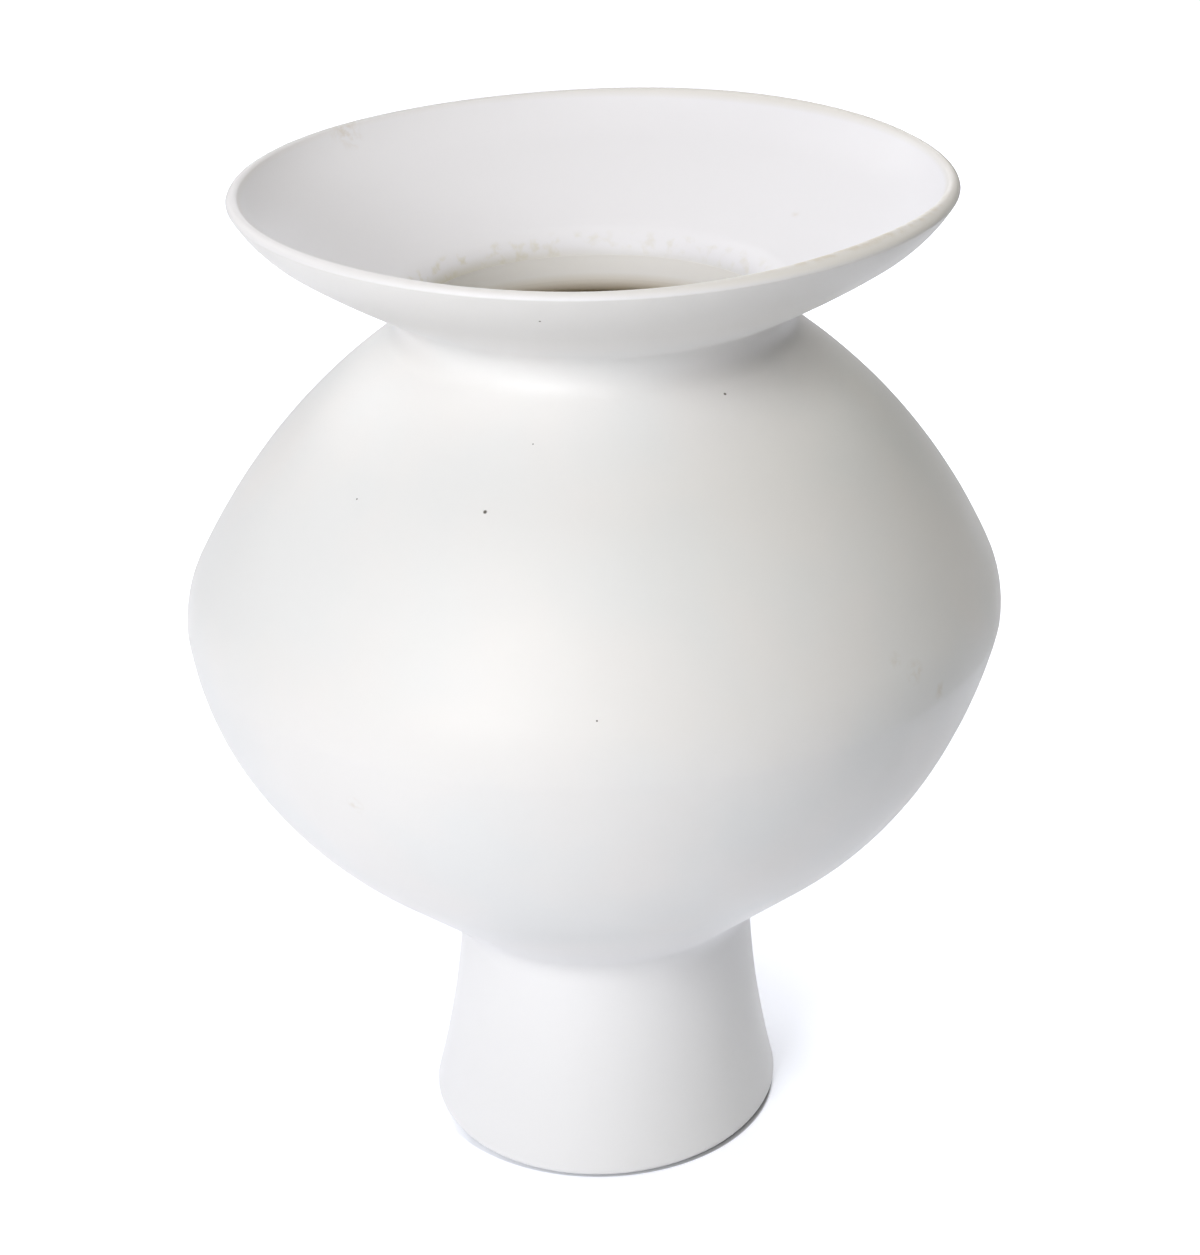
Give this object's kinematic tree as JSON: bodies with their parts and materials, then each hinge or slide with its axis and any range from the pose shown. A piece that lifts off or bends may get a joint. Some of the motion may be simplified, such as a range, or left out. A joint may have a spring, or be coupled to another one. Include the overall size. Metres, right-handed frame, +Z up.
{
  "type": "footed ceramic jar",
  "caption": "Matt white stoneware jar: a round belly of two joined bowls on a tall hollow foot, with a narrow neck and a wide flared mouth.",
  "frame": {"origin": "centre of the foot ring, on the surface that the jar stands on", "axes": "+Z up along the axis that the jar was turned on; the picture looks roughly along +Y and down, with +X to its right"},
  "size_m": [0.2946, 0.2946, 0.3616],
  "materials": {
    "white_stoneware": "satin matt, smoothed by hand",
    "joining_slip": "satin matt, wiped flush",
    "liner_glaze": "glossy clear glaze"
  },
  "bodies": {
    "root": {"pedestal_foot": "white_stoneware", "foot_joint_slip": "joining_slip", "foot_coil": "joining_slip", "lower_bowl": "white_stoneware", "waist_joint_slip": "joining_slip", "waist_coil": "joining_slip", "upper_bowl": "white_stoneware", "neck_joint_slip": "joining_slip", "neck_coil": "joining_slip", "flared_mouth": "white_stoneware", "liner_glaze": "liner_glaze"}
  },
  "joints": []
}
